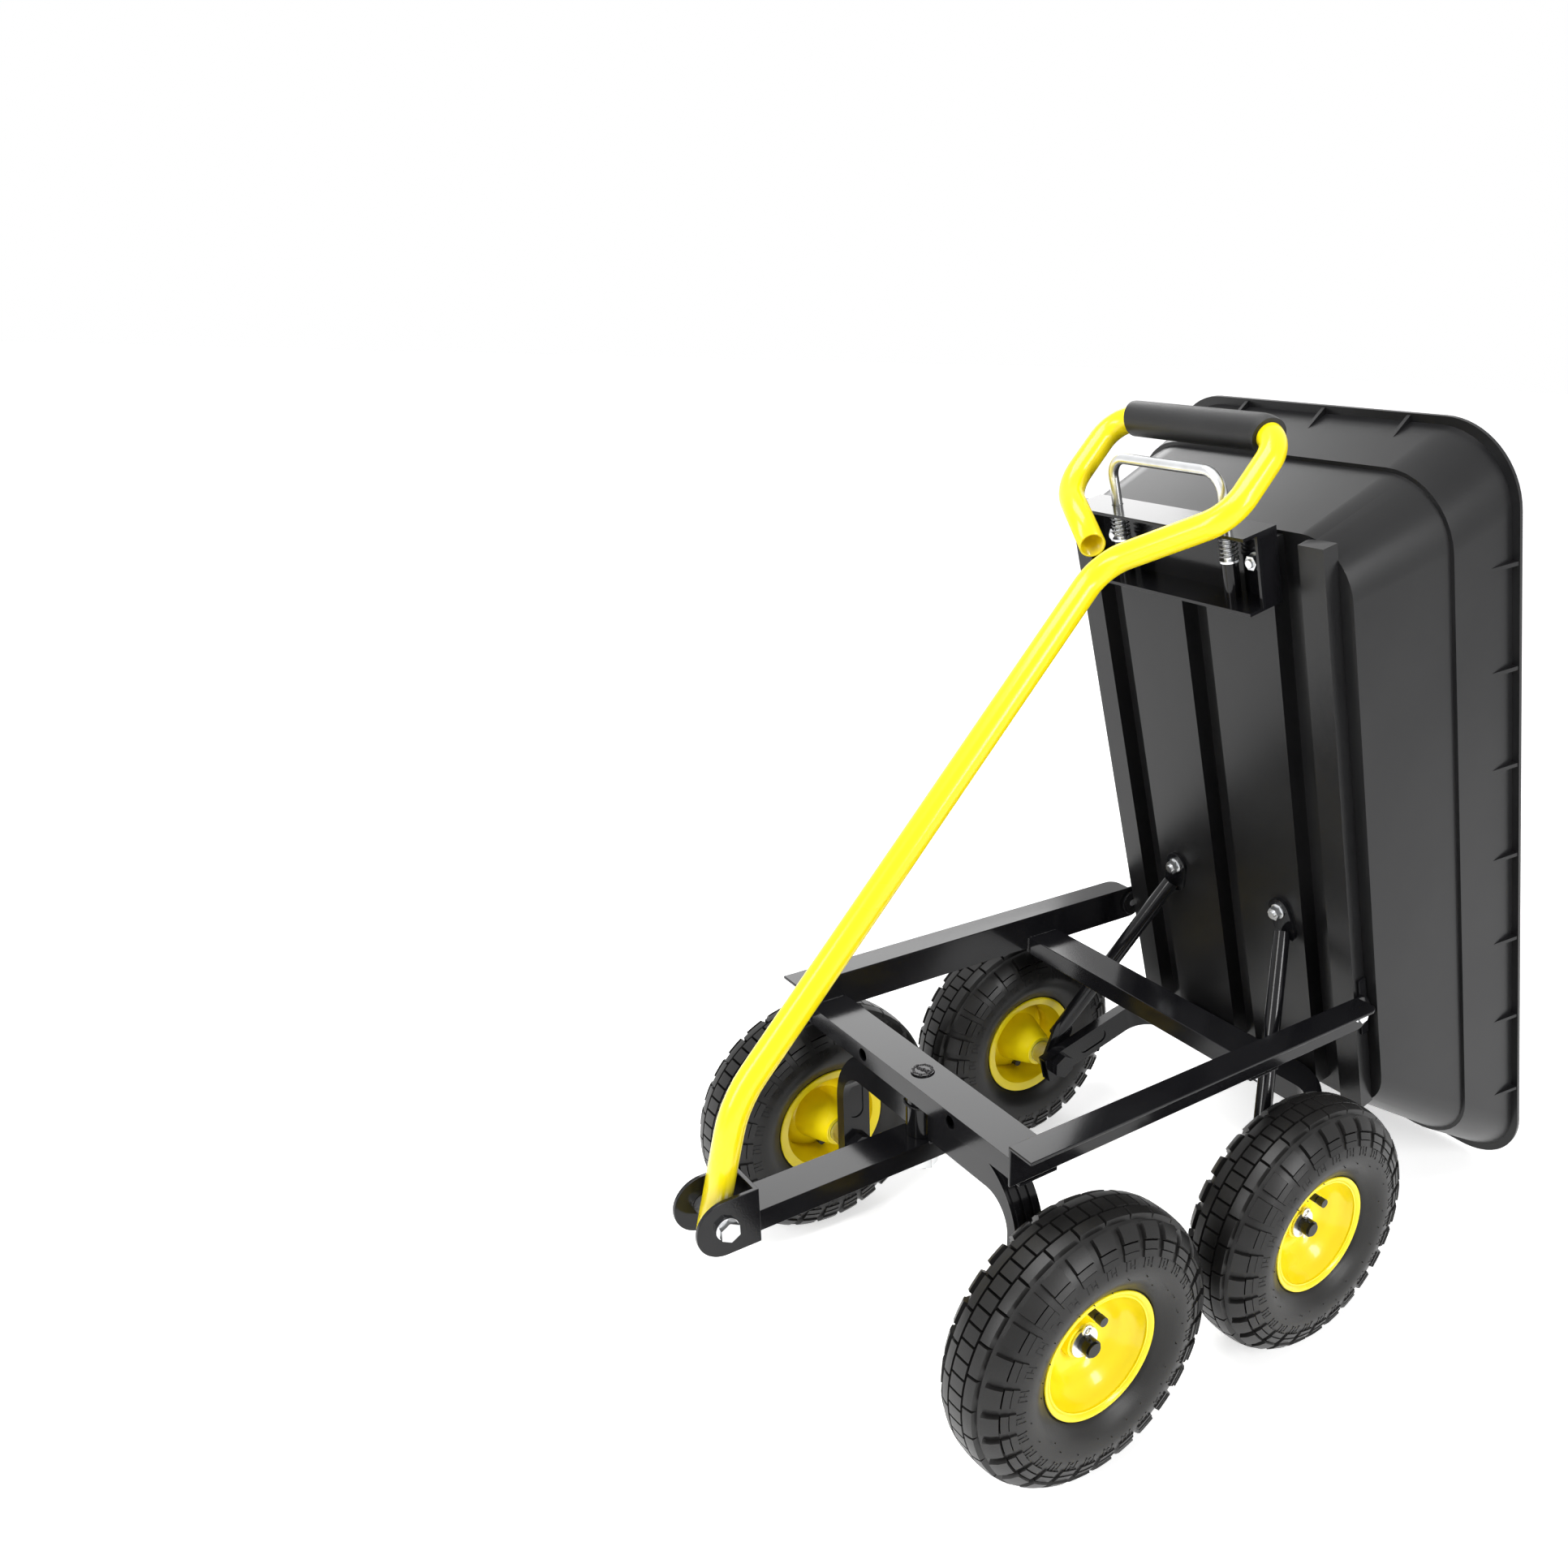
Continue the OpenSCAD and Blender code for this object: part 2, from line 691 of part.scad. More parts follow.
// A bolt with a round head inside the tray and a hexagon nut on a washer below
module tray_bolt(below) {
    inside = land_z + tray_wall;
    translate([0, 0, inside]) cylinder(d = bolt_d * 2.2, h = 2);
    translate([0, 0, below - 11]) cylinder(d = bolt_d, h = inside + 1 - below + 11);
    translate([0, 0, below - 1.5]) cylinder(d = bolt_d * 2.1, h = 1.5);
    hex_z(bolt_d * 1.6, below - 8.5, below - 1.5);
}

module rear_arch() color(steel) tipped() translate([0, rear_y, 0]) difference() {
    arch(rear_half, land_z - ridge_h, rear_z);
    both_sides() translate([arch_bolt_x, -arch_bolt_y, land_z - arch_depth - ridge_h - 1])
        cylinder(r = bolt_d / 2 + seat_gap, h = arch_depth + ridge_h + 2);
}

module rear_arch_bolts() color(zinc) tipped() both_sides() translate([arch_bolt_x, rear_y - arch_bolt_y, 0])
    tray_bolt(land_z - ridge_h - arch_depth);

// Struts: round bars with flattened ends, from the tray's lands to the rear spindles

strut_from = [84, strut_y + 22, land_z - 8];
strut_to = [rear_half + 9, rear_y - 22, rear_z + 17];

module strut(side) {
    span = strut_to - strut_from;
    run = norm(span);
    tipped() mirror([side > 0 ? 0 : 1, 0, 0]) difference() {
        union() {
            translate(strut_from) rotate([0, acos(span[2] / run), atan2(span[1], span[0])])
                hull() cylinder(d = strut_d, h = run, $fn = 24);
            translate([0, 0, land_z - strut_tab]) linear_extrude(strut_tab)
                capsule2d([strut_x, strut_y], [strut_from[0], strut_from[1]], strut_pad_r);
            plate_x(rear_half, rear_half + strut_tab)
                capsule2d([strut_to[1] - 6, strut_to[2] + 5], [rear_y, rear_z], strut_pad_r);
        }
        translate([strut_x, strut_y, land_z - strut_tab - 1]) cylinder(r = bolt_d / 2 + seat_gap, h = strut_tab + 2);
        translate([0, rear_y, rear_z]) bar_x(spindle_d + 2 * seat_gap, rear_half - 1, rear_half + strut_tab + 1);
    }
}

module left_strut() color(steel) strut(1);

module right_strut() color(steel) strut(-1);

module strut_bolts() color(zinc) tipped() both_sides() translate([strut_x, strut_y, 0])
    tray_bolt(land_z - strut_tab);

// Hinge: a plate on the side of each outer land, with a shouldered bolt out through the rail's web

module hinge_brackets() color(steel) tipped() both_sides() difference() {
    plate_x(land_side, land_side + 3) {
        circle(14);
        translate([-14, 0]) square([28, floor_z - 1]);
        translate([-34, floor_z - 12]) square([68, 11]);
    }
    bar_x(hinge_d + 2 * seat_gap, land_side - 1, land_side + 4);
}

module hinge_bolts() color(zinc) tipped() both_sides() {
    face = rail_in + rail_t + face_gap;
    bar_x(hinge_d, land_side, face + 1);
    bar_x(hinge_d * 2, face, face + 1.5);
    hex_x(hinge_d * 1.6, face + 1.5, face + 7);
}

// Latch: a bracket under the tray's front, and a sprung bail whose ends are the pins

module pin_places() {
    both_sides() translate([pin_x, 0, pin_z]) rotate([-90, 0, 0]) children();
}

module latch_bracket() color(steel) tipped() difference() {
    depth = land_z - latch_low;
    union() {
        translate([-latch_half, latch_front, land_z - latch_t]) cube([2 * latch_half, latch_len, latch_t]);
        for (y = [latch_front, latch_rear - latch_t])
            translate([-latch_half, y, latch_low]) cube([2 * latch_half, latch_t, depth]);
        for (x = [-latch_half, latch_half - latch_t])
            translate([x, latch_front, land_z - depth * 0.6]) cube([latch_t, latch_len, depth * 0.6]);
    }
    pin_places() translate([0, 0, latch_front - 1]) cylinder(d = pin_d + 1.2, h = latch_len + 2);
    both_sides() translate([latch_bolt_x, latch_front + latch_len / 2, land_z - latch_t - 1])
        cylinder(r = bolt_d / 2 + seat_gap, h = latch_t + 2);
}

module latch_guides() color(steel) tipped() pin_places()
    translate([0, 0, latch_rear - latch_t - guide_len]) ring(pin_d / 2 + guide_wall, pin_d / 2 + 0.4, guide_len);

module latch_bolts() color(zinc) tipped() both_sides() translate([latch_bolt_x, latch_front + latch_len / 2, 0])
    tray_bolt(land_z - latch_t);

module latch_bail() color(zinc) tipped() translate([0, 0, pin_z])
    bent_rod([[-pin_x, pin_tip], [-pin_x, bail_end], [pin_x, bail_end], [pin_x, pin_tip]],
             [0, bail_bend, bail_bend, 0], pin_d);

module latch_collars() color(zinc) tipped() pin_places() translate([0, 0, spring_base])
    ring(spring_r + 1, pin_d / 2 + seat_gap, collar_t);

// Springs: one unbroken wire each, as rings of points along a helix

turns = curls * rings;
coil_len = spring_len - wire_d - 2 * spring_end_gap;

function coil_point(i) = [spring_r * cos(i * 360 / rings), spring_r * sin(i * 360 / rings), i * coil_len / turns];

function wire_point(i, k) =
    let (a = i * 360 / rings, b = k * 360 / sides, r = spring_r + wire_d / 2 * cos(b))
    [r * cos(a), r * sin(a), i * coil_len / turns + wire_d / 2 * sin(b)];

function next_side(k) = (k + 1) % sides;

module coil() {
    points = [for (i = [0 : turns]) for (k = [0 : sides - 1]) wire_point(i, k)];
    walls = [for (i = [0 : turns - 1]) for (k = [0 : sides - 1]) each [
        [i * sides + k, (i + 1) * sides + k, (i + 1) * sides + next_side(k)],
        [i * sides + k, (i + 1) * sides + next_side(k), i * sides + next_side(k)]]];
    ends = [[for (k = [0 : sides - 1]) k], [for (k = [sides - 1 : -1 : 0]) turns * sides + k]];
    polyhedron(points, concat(walls, ends));
}

coil_gap = min([for (i = [0 : turns]) for (j = [i + rings - 2 : 1 : turns]) norm(coil_point(i) - coil_point(j))]) - wire_d;
echo(least_gap_between_curls = coil_gap);

module latch_springs() color(zinc) tipped() pin_places()
    translate([0, 0, latch_front + latch_t + spring_end_gap + wire_d / 2]) coil();

// Wheels, drawn about their own middle with the outer side up

// The wall bulges about a middle radius, which lies between the rim and the tread
tyre_mid = rim_r + (tyre_r - rim_r) * 0.4776;
function tyre_wall(f) = [tyre_mid + sin(f) * (f > 0 ? tyre_r - tyre_mid : (tyre_mid - rim_r) * 1.006),
                         tyre_w / 2 - 17 + 17 * cos(f)];
function tyre_inside(f) = [tyre_mid + sin(f) * (f > 0 ? tyre_r - tyre_mid - 7 : (tyre_mid - rim_r) * 0.805),
                           tyre_w / 2 - 24 + 17 * cos(f)];
function other_side(p) = [for (i = [len(p) - 1 : -1 : 0]) [p[i][0], -p[i][1]]];

module tyre() {
    bead_z = rim_w / 2 - sheet - seat_gap;
    outside = concat([[bead_r + seat_gap, bead_z], [rim_r + 0.5, bead_z]],
                     [for (f = [-80 : 10 : 80]) tyre_wall(f)], [[tyre_r, tyre_w / 2 - 19]]);
    inside = concat([[bead_r + seat_gap, bead_z - 8], [rim_r - 1, bead_z - 7]],
                    [for (f = [-70 : 10 : 80]) tyre_inside(f)]);
    rotate_extrude($fn = 96) polygon(concat(outside, other_side(outside), [for (p = inside) [p[0], -p[1]]],
                                            [for (i = [len(inside) - 1 : -1 : 0]) inside[i]]));
}

// One closed section: the barrel that holds the tyre, the dished disc and the hub with its cone
module rim_section() {
    lip = rim_w / 2;
    seat = lip - 12;
    well = bead_r - 7;
    well_z = seat - 8;
    outside = [[rim_r, lip], [rim_r, lip - sheet], [bead_r, lip - sheet], [bead_r, seat], [well, well_z]];
    inside = [[rim_r - sheet, lip], [bead_r - sheet, lip - sheet], [bead_r - sheet, seat], [well - sheet, well_z]];
    dish_under = [[well - sheet, disc_z], [stem_r, disc_z - 6.5], [stem_r - 6, disc_z - 10]];
    cone = [[hub_r + 3, 9 - hub_in], [hub_r, 5 - hub_in], [hub_r, -hub_in]];
    bore = [[bush_r + seat_gap, -hub_in], [bush_r + seat_gap, hub_out]];
    dish_over = [[hub_r, hub_out], [hub_r, disc_z - 8.5], [hub_r + 7, disc_z - 8.5], [stem_r, disc_z - 3],
                 [well - sheet, disc_z + 3.5]];
    polygon(concat(outside, other_side(outside), [for (p = inside) [p[0], -p[1]]], dish_under, cone, bore, dish_over,
                   [for (i = [len(inside) - 1 : -1 : 0]) inside[i]]));
}

module rim() {
    difference() {
        rotate_extrude($fn = 96) rim_section();
        translate([-stem_r, 0, disc_z - 14]) cylinder(r = stem_d / 2 + seat_gap, h = 22);
    }
}

module bushes() {
    for (z = [-hub_in, hub_out - bush_len])
        translate([0, 0, z]) ring(bush_r, spindle_d / 2 + run_gap, bush_len);
}

module valve() {
    stem_low = disc_z - 13;
    stem_top = rim_w / 2 - 8;
    translate([-stem_r, 0, stem_low]) cylinder(d = stem_d, h = stem_top - stem_low);
    translate([-stem_r, 0, stem_top - 1]) cylinder(d = stem_d - 2, h = 4);
    translate([-stem_r, 0, stem_top + 2]) cylinder(d = stem_d + 0.5, h = 7);
}

module front_left_tyre() color(black) wheel_place(0, track_front, 1) tyre();

module front_left_rim() color(yellow) wheel_place(0, track_front, 1) rim();

module front_left_bushes() color(nylon) wheel_place(0, track_front, 1) bushes();

module front_left_valve() color(black) wheel_place(0, track_front, 1) valve();

module front_right_tyre() color(black) wheel_place(0, track_front, -1) tyre();

module front_right_rim() color(yellow) wheel_place(0, track_front, -1) rim();

module front_right_bushes() color(nylon) wheel_place(0, track_front, -1) bushes();

module front_right_valve() color(black) wheel_place(0, track_front, -1) valve();

module rear_left_tyre() color(black) wheel_place(tipped_base, track_rear, 1) tyre();

module rear_left_rim() color(yellow) wheel_place(tipped_base, track_rear, 1) rim();

module rear_left_bushes() color(nylon) wheel_place(tipped_base, track_rear, 1) bushes();

module rear_left_valve() color(black) wheel_place(tipped_base, track_rear, 1) valve();

module rear_right_tyre() color(black) wheel_place(tipped_base, track_rear, -1) tyre();

module rear_right_rim() color(yellow) wheel_place(tipped_base, track_rear, -1) rim();

module rear_right_bushes() color(nylon) wheel_place(tipped_base, track_rear, -1) bushes();

module rear_right_valve() color(black) wheel_place(tipped_base, track_rear, -1) valve();

left_rail();
right_rail();
front_crossmember();
mid_crossmember();
kingpin();
kingpin_nut();
front_arch();
kingpin_boss();
tongue();
handle_clevis();
handle_pivot_bolt();
front_spindles();
front_spacers();
front_washers();
front_cotters();
handle_tube();
handle_bush();
handle_grip();
tray();
rear_arch();
rear_arch_bolts();
left_strut();
right_strut();
strut_bolts();
hinge_brackets();
hinge_bolts();
rear_spindles();
rear_spacers();
rear_washers();
rear_cotters();
latch_bracket();
latch_guides();
latch_bolts();
latch_bail();
latch_collars();
latch_springs();
front_left_tyre();
front_left_rim();
front_left_bushes();
front_left_valve();
front_right_tyre();
front_right_rim();
front_right_bushes();
front_right_valve();
rear_left_tyre();
rear_left_rim();
rear_left_bushes();
rear_left_valve();
rear_right_tyre();
rear_right_rim();
rear_right_bushes();
rear_right_valve();
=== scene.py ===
# %% [markdown]
# # A tipping dump cart
# The cart is a steel frame on four air tyres, with a moulded tray that tips up on its rear axle.
# The working solids come first, each with its joints. This script adds the finish on top of them,
# one piece at a time: rounded edges, tyre tread, bent tube, foam, paint and plastic.

# %%
import json
import math
import random

import bmesh
import bpy
from mathutils import Matrix, Vector

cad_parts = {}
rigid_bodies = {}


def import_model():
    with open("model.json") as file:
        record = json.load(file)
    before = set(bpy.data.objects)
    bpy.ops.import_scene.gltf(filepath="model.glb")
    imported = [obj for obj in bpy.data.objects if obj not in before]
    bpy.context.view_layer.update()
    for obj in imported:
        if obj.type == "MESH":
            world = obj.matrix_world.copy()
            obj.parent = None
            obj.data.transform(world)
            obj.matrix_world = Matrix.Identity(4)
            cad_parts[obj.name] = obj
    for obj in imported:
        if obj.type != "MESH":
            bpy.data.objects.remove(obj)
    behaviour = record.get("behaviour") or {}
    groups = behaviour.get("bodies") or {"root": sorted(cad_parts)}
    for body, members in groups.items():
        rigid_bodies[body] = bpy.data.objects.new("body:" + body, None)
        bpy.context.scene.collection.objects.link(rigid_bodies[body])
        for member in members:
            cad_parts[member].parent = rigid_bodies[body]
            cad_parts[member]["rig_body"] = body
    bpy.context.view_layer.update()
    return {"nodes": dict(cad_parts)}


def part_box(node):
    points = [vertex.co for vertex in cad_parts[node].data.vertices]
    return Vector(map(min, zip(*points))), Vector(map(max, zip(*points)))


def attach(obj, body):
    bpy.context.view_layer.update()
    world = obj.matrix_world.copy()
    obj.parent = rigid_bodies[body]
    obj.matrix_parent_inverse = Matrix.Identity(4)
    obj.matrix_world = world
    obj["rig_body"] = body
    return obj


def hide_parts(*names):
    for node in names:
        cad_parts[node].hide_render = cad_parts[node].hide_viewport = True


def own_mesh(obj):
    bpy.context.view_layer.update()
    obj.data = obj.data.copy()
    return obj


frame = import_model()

nodes = frame["nodes"]
MM = 0.001
X_AXIS = Vector((1, 0, 0))

# %% [markdown]
# ## Surfaces that share their grain
# Paint, plastic and rubber are never one flat colour. Dust and handling shift the tone over the
# width of a hand, and the mould or the spray leaves a fine grain. Every finish could have nodes of
# its own for that. One group makes both from the place on the piece instead, so each finish only
# sets its own scale and strength.


# %%
def new_group(name, inputs, outputs):
    group = bpy.data.node_groups.new(name, "ShaderNodeTree")
    for label, kind, default in inputs:
        socket = group.interface.new_socket(label, in_out="INPUT", socket_type=kind)
        if default is not None:
            socket.default_value = default
    for label, kind in outputs:
        group.interface.new_socket(label, in_out="OUTPUT", socket_type=kind)
    return group, group.nodes.new("NodeGroupInput"), group.nodes.new("NodeGroupOutput")


def noise(tree, place, scale, detail):
    texture = tree.nodes.new("ShaderNodeTexNoise")
    texture.inputs["Detail"].default_value = detail
    tree.links.new(place, texture.inputs["Vector"])
    tree.links.new(scale, texture.inputs["Scale"])
    return texture.outputs["Fac"]


def make_finish_group():
    group, given, result = new_group(
        "finish",
        [
            ("Place", "NodeSocketVector", None),
            ("Colour", "NodeSocketColor", (0.5, 0.5, 0.5, 1)),
            ("Shade", "NodeSocketColor", (0.3, 0.3, 0.3, 1)),
            ("Patch Scale", "NodeSocketFloat", 9.0),
            ("Grain Scale", "NodeSocketFloat", 900.0),
            ("Rough Low", "NodeSocketFloat", 0.2),
            ("Rough High", "NodeSocketFloat", 0.3),
        ],
        [
            ("Colour", "NodeSocketColor"),
            ("Roughness", "NodeSocketFloat"),
            ("Height", "NodeSocketFloat"),
        ],
    )
    place = given.outputs["Place"]
    patches = noise(group, place, given.outputs["Patch Scale"], detail=4)
    grain = noise(group, place, given.outputs["Grain Scale"], detail=2)
    spread = group.nodes.new("ShaderNodeMapRange")
    spread.inputs["From Min"].default_value = 0.35
    spread.inputs["From Max"].default_value = 0.65
    group.links.new(patches, spread.inputs["Value"])
    tone = group.nodes.new("ShaderNodeMix")
    tone.data_type = "RGBA"
    group.links.new(spread.outputs["Result"], tone.inputs["Factor"])
    group.links.new(given.outputs["Colour"], tone.inputs["A"])
    group.links.new(given.outputs["Shade"], tone.inputs["B"])
    rough = group.nodes.new("ShaderNodeMapRange")
    group.links.new(patches, rough.inputs["Value"])
    group.links.new(given.outputs["Rough Low"], rough.inputs["To Min"])
    group.links.new(given.outputs["Rough High"], rough.inputs["To Max"])
    group.links.new(tone.outputs["Result"], result.inputs["Colour"])
    group.links.new(rough.outputs["Result"], result.inputs["Roughness"])
    group.links.new(grain, result.inputs["Height"])
    return group


finish_group = make_finish_group()
print("shared group:", finish_group.name)


# %%
def make_finish(
    name, colour, shade, grain, rough, bump, depth, metallic=0.0, coat=0.0, patch=9.0, gloss=0.5
):
    material = bpy.data.materials.new(name)
    material.use_nodes = True
    tree = material.node_tree
    shader = tree.nodes["Principled BSDF"]
    place = tree.nodes.new("ShaderNodeTexCoord").outputs["Object"]
    group = tree.nodes.new("ShaderNodeGroup")
    group.node_tree = finish_group
    tree.links.new(place, group.inputs["Place"])
    settings = {
        "Colour": (*colour, 1), "Shade": (*shade, 1), "Patch Scale": patch, "Grain Scale": grain,
        "Rough Low": rough[0], "Rough High": rough[1],
    }
    for label, value in settings.items():
        group.inputs[label].default_value = value
    tree.links.new(group.outputs["Colour"], shader.inputs["Base Color"])
    tree.links.new(group.outputs["Roughness"], shader.inputs["Roughness"])
    bumps = tree.nodes.new("ShaderNodeBump")
    bumps.inputs["Strength"].default_value = bump
    bumps.inputs["Distance"].default_value = depth
    tree.links.new(group.outputs["Height"], bumps.inputs["Height"])
    tree.links.new(bumps.outputs["Normal"], shader.inputs["Normal"])
    shader.inputs["Metallic"].default_value = metallic
    shader.inputs["Coat Weight"].default_value = coat
    shader.inputs["Coat Roughness"].default_value = 0.08
    shader.inputs["Specular IOR Level"].default_value = gloss
    return material


finishes = {
    "black_steel": make_finish(
        "black powder coat", colour=(0.005, 0.005, 0.006), shade=(0.009, 0.009, 0.01),
        grain=700, rough=(0.1, 0.17), bump=0.1, depth=0.0003, coat=0.04, gloss=0.26
    ),
    "yellow_paint": make_finish(
        "yellow paint", colour=(0.93, 0.76, 0.004), shade=(0.91, 0.72, 0.004),
        grain=500, rough=(0.22, 0.3), bump=0.03, depth=0.0002, coat=0.32, gloss=0.3
    ),
    "tray_plastic": make_finish(
        "moulded tray plastic", colour=(0.007, 0.007, 0.0076), shade=(0.0105, 0.0105, 0.011),
        grain=1500, rough=(0.26, 0.34), bump=0.2, depth=0.0002, gloss=0.3
    ),
    "tyre_rubber": make_finish(
        "tyre rubber", colour=(0.0055, 0.0053, 0.0052), shade=(0.0105, 0.01, 0.0097),
        grain=900, rough=(0.3, 0.46), bump=0.25, depth=0.0003, gloss=0.3
    ),
    "zinc_steel": make_finish(
        "zinc plate", colour=(0.78, 0.79, 0.8), shade=(0.64, 0.65, 0.66),
        grain=600, rough=(0.22, 0.38), bump=0.1, depth=0.0002, metallic=1.0, patch=40
    ),
    "foam_grip": make_finish(
        "foam grip", colour=(0.008, 0.008, 0.0085), shade=(0.014, 0.014, 0.0145),
        grain=1400, rough=(0.36, 0.46), bump=0.4, depth=0.0005, gloss=0.36
    ),
    "black_nylon": make_finish(
        "black nylon", colour=(0.009, 0.009, 0.009), shade=(0.015, 0.015, 0.015),
        grain=800, rough=(0.35, 0.5), bump=0.15, depth=0.0003
    ),
}
print("finishes:", ", ".join(finishes))

# %% [markdown]
# ## From mesh to piece
# Every new piece is modelled where it belongs, so its object stays at the origin. It then rides the
# body of the solid it stands for. Smooth shading breaks only at real edges, and weighted normals
# keep the broad flat faces flat.


# %%
def finish_piece(name, bm, finish, body, stands_for=(), crease=38):
    bmesh.ops.recalc_face_normals(bm, faces=bm.faces)
    mesh = bpy.data.meshes.new(name)
    bm.to_mesh(mesh)
    bm.free()
    mesh.shade_smooth()
    mesh.set_sharp_from_angle(angle=math.radians(crease))
    piece = bpy.data.objects.new(name, mesh)
    bpy.context.scene.collection.objects.link(piece)
    mesh.materials.append(finishes[finish])
    weighted = piece.modifiers.new("flat faces", "WEIGHTED_NORMAL")
    weighted.keep_sharp = True
    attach(piece, body)
    if stands_for:
        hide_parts(*stands_for)
    return piece


def revolve(bm, outline, steps):
    """Spins a closed outline of (place along the axle, radius) points, in mm, round the axle."""
    corners = [bm.verts.new((x * MM, 0, r * MM)) for x, r in outline]
    edges = [bm.edges.new(pair) for pair in zip(corners, corners[1:] + corners[:1])]
    bmesh.ops.spin(
        bm, geom=corners + edges, cent=(0, 0, 0), axis=X_AXIS, angle=math.tau, steps=steps,
        use_merge=True
    )
    bmesh.ops.recalc_face_normals(bm, faces=bm.faces)


def body_of(node):
    return nodes[node]["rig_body"]


# %% [markdown]
# ## Steel with its edges broken
# Rails, cross-members, arches and brackets are cut, bent and welded, and no edge is left razor
# sharp under powder coat. They could be built again from plates, but the working solids already hold
# the exact sizes, so each starts as a copy of one. Flat triangles are joined into whole faces, and
# the hard edges get a small round that catches the light. The tray and the bolts go the same way.


# %%
SAME_PLACE = 0.00002


def dress(node, finish, width, crease=32, segments=2):
    bm = bmesh.new()
    bm.from_mesh(nodes[node].data)
    bmesh.ops.remove_doubles(bm, verts=bm.verts, dist=SAME_PLACE)
    bmesh.ops.dissolve_limit(bm, angle_limit=math.radians(0.4), verts=bm.verts, edges=bm.edges)
    sharp = math.radians(crease)
    hard = [e for e in bm.edges if len(e.link_faces) == 2 and e.calc_face_angle(0) > sharp]
    bmesh.ops.bevel(
        bm, geom=hard, offset=width * MM, offset_type="OFFSET", segments=segments, profile=0.5,
        affect="EDGES", clamp_overlap=True, material=-1
    )
    return finish_piece("finished_" + node, bm, finish, body_of(node), [node])


steel = {
    "left_rail": 0.8, "right_rail": 0.8, "front_crossmember": 0.8, "mid_crossmember": 0.8,
    "tongue": 0.9, "handle_clevis": 0.9, "front_arch": 0.8, "rear_arch": 0.8, "left_strut": 0.6,
    "right_strut": 0.6, "latch_bracket": 0.8, "hinge_brackets": 0.6, "kingpin_boss": 0.8,
}
for node, width in steel.items():
    dress(node, "black_steel", width)
dress("tray", "tray_plastic", 2.4, segments=3)
bolts = [
    "handle_pivot_bolt", "strut_bolts", "hinge_bolts", "latch_bolts", "rear_arch_bolts",
    "kingpin_nut",
]
for node in bolts:
    dress(node, "zinc_steel", 0.5)
print("dressed:", len(steel) + len(bolts) + 1)

# %% [markdown]
# ## Weld beads
# The frame and the axle are welded, and under the paint each seam is a row of small overlapping
# puddles. A bump in the paint could hint at it, but would have no edge of its own. Flattened balls
# set close along a seam give the rippled line as a real shape.


# %%
def weld(name, body, seams, size):
    bm = bmesh.new()
    flatten = Matrix.Diagonal((1, 0.85, 0.75, 1))
    count = 0
    for start, end in seams:
        start, end = Vector(start), Vector(end)
        drops = max(2, int((end - start).length / (size * 0.8)))
        for i in range(drops + 1):
            place = Matrix.Translation(start.lerp(end, i / drops) * MM)
            turn = Matrix.Rotation(random.random() * 6, 4, "Z")
            radius = size * random.uniform(0.85, 1.1) * MM
            bmesh.ops.create_icosphere(
                bm, subdivisions=2, radius=radius, matrix=place @ turn @ flatten
            )
            count += 1
    finish_piece(name, bm, "black_steel", body)
    return count


def ring_seam(middle, radius, pieces):
    points = [
        Vector(middle) + Vector((math.cos(t), math.sin(t), 0)) * radius
        for t in (math.tau * i / pieces for i in range(pieces + 1))
    ]
    return list(zip(points, points[1:]))


random.seed(9)
KINGPIN_Y = -230.5
kingpin_seams = ring_seam((0, KINGPIN_Y, 283.3), 9, 8)
kingpin_seams.append(((-4, KINGPIN_Y - 1.5, 284), (5, KINGPIN_Y + 1.5, 284)))
drops = weld("kingpin_weld", "frame", kingpin_seams, 2.6)

# %%
RAIL_FACE, RAIL_TOP = 173, 282.4
CROSS_FRONTS = (-250.5, 25.5)
cross_seams = []
for side in (-1, 1):
    x = side * RAIL_FACE
    for front in CROSS_FRONTS:
        cross_seams.append(((x, front + 3, RAIL_TOP), (x, front + 37, RAIL_TOP)))
        cross_seams.append(((x, front - 0.4, 266), (x, front - 0.4, 281)))
drops += weld("cross_member_welds", "frame", cross_seams, 2.0)

# %%
TONGUE_END, TONGUE_TOP, TONGUE_LOW, TONGUE_HALF = -408.4, 220.6, 200.6, 19
axle_seams = ring_seam((0, KINGPIN_Y, 252.5), 16.6, 14)
axle_seams += [((x, -236, 219.8), (x, -206, 219.8)) for x in (-20.5, 20.5)]
axle_seams += [
    ((-TONGUE_HALF, TONGUE_END, z), (TONGUE_HALF, TONGUE_END, z)) for z in (TONGUE_TOP, TONGUE_LOW)
]
drops += weld("axle_welds", "front_axle", axle_seams, 2.0)
print("weld drops:", drops)

# %% [markdown]
# ## Tyres with a block tread
# Each wheel carries an air tyre with rows of blocks round the crown and lugs over the shoulders.
# Blocks could be laid on one by one, but then they would only rest on the rubber. Here the carcass
# is one section spun round the axle. Groups of its faces are drawn in a little and pushed outward,
# which leaves the grooves between them, as a mould would. Low bars under each lug and the fine nubs
# that the mould's vents leave finish the side walls.

# %%
PITCH_STEPS = 4
BLOCKS = 28
STEPS = PITCH_STEPS * BLOCKS
TYRE_HALF_WIDTH = 43
tyre_half = [
    (4, 122.9), (9, 122.6), (15, 121.8), (21, 120.2), (24.5, 118.4), (30, 114), (34.6, 108.4),
    (38, 102.4), (40.4, 96.6), (42, 91), (42.6, 85.5), (41.7, 79), (39.4, 73.5), (36.2, 68.6),
    (33.2, 65), (31.6, 62.4), (28.2, 60.4),
]
tyre_inside = [(28.2, 53.2), (20.5, 53.2), (21, 59), (29, 74), (32, 90), (28, 106), (15, 113.5)]


def tyre_outline():
    outside = [(-x, r) for x, r in reversed(tyre_half)] + tyre_half
    inside = tyre_inside + [(-x, r) for x, r in reversed(tyre_inside)]
    return outside + inside


